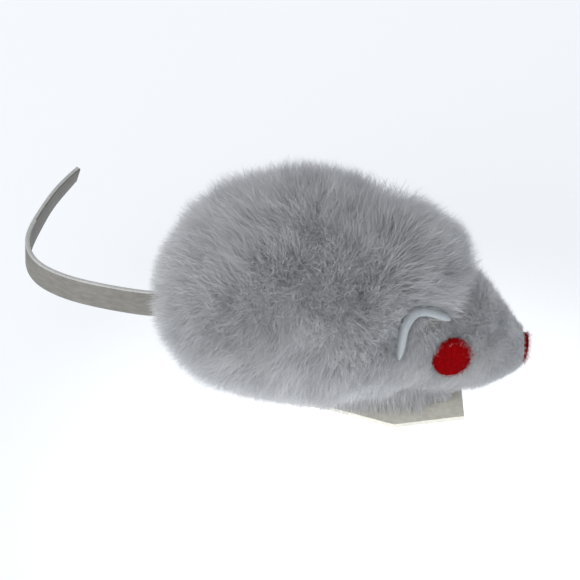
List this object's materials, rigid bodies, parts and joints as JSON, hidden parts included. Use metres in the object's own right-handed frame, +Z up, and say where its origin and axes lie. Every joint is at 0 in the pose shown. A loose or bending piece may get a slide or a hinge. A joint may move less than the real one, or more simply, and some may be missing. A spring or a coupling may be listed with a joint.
{
  "type": "clockwork mouse",
  "caption": "Wind-up toy mouse: fur-covered shell over a spring motor, driven wheels, swivelling trailing wheel, leather ears, tail and sole, felt eyes and nose.",
  "frame": {"origin": "on the floor, on the centre line, half way along the fur body", "axes": "+X to the nose, +Y to the mouse's left, +Z up"},
  "size_m": [0.1058, 0.0707, 0.0528],
  "materials": {
    "fur": "long soft pale grey pile",
    "red_felt": "red wool felt",
    "ear_leather": "pale grey suede leather",
    "tail_leather": "grey beige leather with a pale cut edge",
    "sole_leather": "beige leather, flesh side out",
    "shell_plastic": "matte grey",
    "wheel_plastic": "moulded, matte",
    "rubber": "matte black",
    "tinplate": "plain tinned sheet",
    "steel": "plain",
    "spring_steel": "blued",
    "key_steel": "nickel plated",
    "brass": "plain"
  },
  "bodies": {
    "chassis": {"sole": "sole_leather", "chassis_plate": "tinplate", "motor_screws": "steel", "shell_screws": "steel", "left_eye": "red_felt", "right_eye": "red_felt", "nose": "red_felt", "left_ear": "ear_leather", "right_ear": "ear_leather", "tail": "tail_leather", "tail_rivet": "brass", "body_shell": "shell_plastic", "fur_cover": "fur", "key_eyelet": "brass", "motor_plate_left": "tinplate", "motor_plate_right": "tinplate", "plate_pillars": "steel", "mainspring": "spring_steel", "trailing_bracket": "tinplate", "bracket_rivets": "steel"},
    "great_wheel": {"great_wheel": "brass", "click_rivet": "brass", "click_spring": "spring_steel"},
    "winding": {"winding_arbor": "steel", "ratchet_wheel": "steel", "winding_key": "key_steel"},
    "click": {"click": "steel"},
    "intermediate": {"intermediate_arbor": "steel", "intermediate_pinion": "brass", "intermediate_wheel": "brass"},
    "drive_axle": {"drive_axle": "steel", "drive_pinion": "brass", "drive_wheel_left": "wheel_plastic", "drive_wheel_right": "wheel_plastic", "tyre_left": "rubber", "tyre_right": "rubber"},
    "governor": {"governor_arbor": "steel", "governor_pinion": "brass", "governor_fly": "tinplate"},
    "trailing_fork": {"trailing_fork": "steel", "fork_pin": "steel", "trailing_axle": "steel"},
    "trailing_wheel": {"trailing_wheel": "wheel_plastic"}
  },
  "joints": [
    {"name": "great_wheel_spin", "type": "hinge", "parent": "chassis", "child": "great_wheel", "pos_m": [-0.002, 0, 0.0225], "axis": [0, 1, 0], "continuous": true},
    {"name": "key_winding", "type": "hinge", "parent": "great_wheel", "child": "winding", "pos_m": [-0.002, 0, 0.0225], "axis": [0, 1, 0], "continuous": true, "deforming": ["mainspring"]},
    {"name": "click_lift", "type": "hinge", "parent": "great_wheel", "child": "click", "pos_m": [0.00413, 0, 0.02764], "axis": [0, 1, 0], "range_deg": [0, 12], "stiffness_Nm_per_rad": 0.0002, "springref_deg": -8.59, "deforming": ["click_spring"]},
    {"name": "intermediate_spin", "type": "hinge", "parent": "chassis", "child": "intermediate", "pos_m": [0.01201, 0, 0.01701], "axis": [0, 1, 0], "continuous": true},
    {"name": "drive_axle_spin", "type": "hinge", "parent": "chassis", "child": "drive_axle", "pos_m": [0.009, 0, 0.007], "axis": [0, 1, 0], "continuous": true},
    {"name": "governor_spin", "type": "hinge", "parent": "chassis", "child": "governor", "pos_m": [0.01704, 0, 0.02571], "axis": [0, 1, 0], "continuous": true},
    {"name": "trailing_swivel", "type": "hinge", "parent": "chassis", "child": "trailing_fork", "pos_m": [-0.013, 0, 0.007], "axis": [0, 0, 1], "range_deg": [-20, 20]},
    {"name": "trailing_wheel_spin", "type": "hinge", "parent": "trailing_fork", "child": "trailing_wheel", "pos_m": [-0.0155, 0, 0.003], "axis": [0, 1, 0], "continuous": true}
  ],
  "couplings": [
    {"joint": "great_wheel_spin", "follows": "drive_axle_spin", "ratio": 0.075},
    {"joint": "intermediate_spin", "follows": "drive_axle_spin", "ratio": -0.3},
    {"joint": "governor_spin", "follows": "drive_axle_spin", "ratio": 1.2}
  ]
}
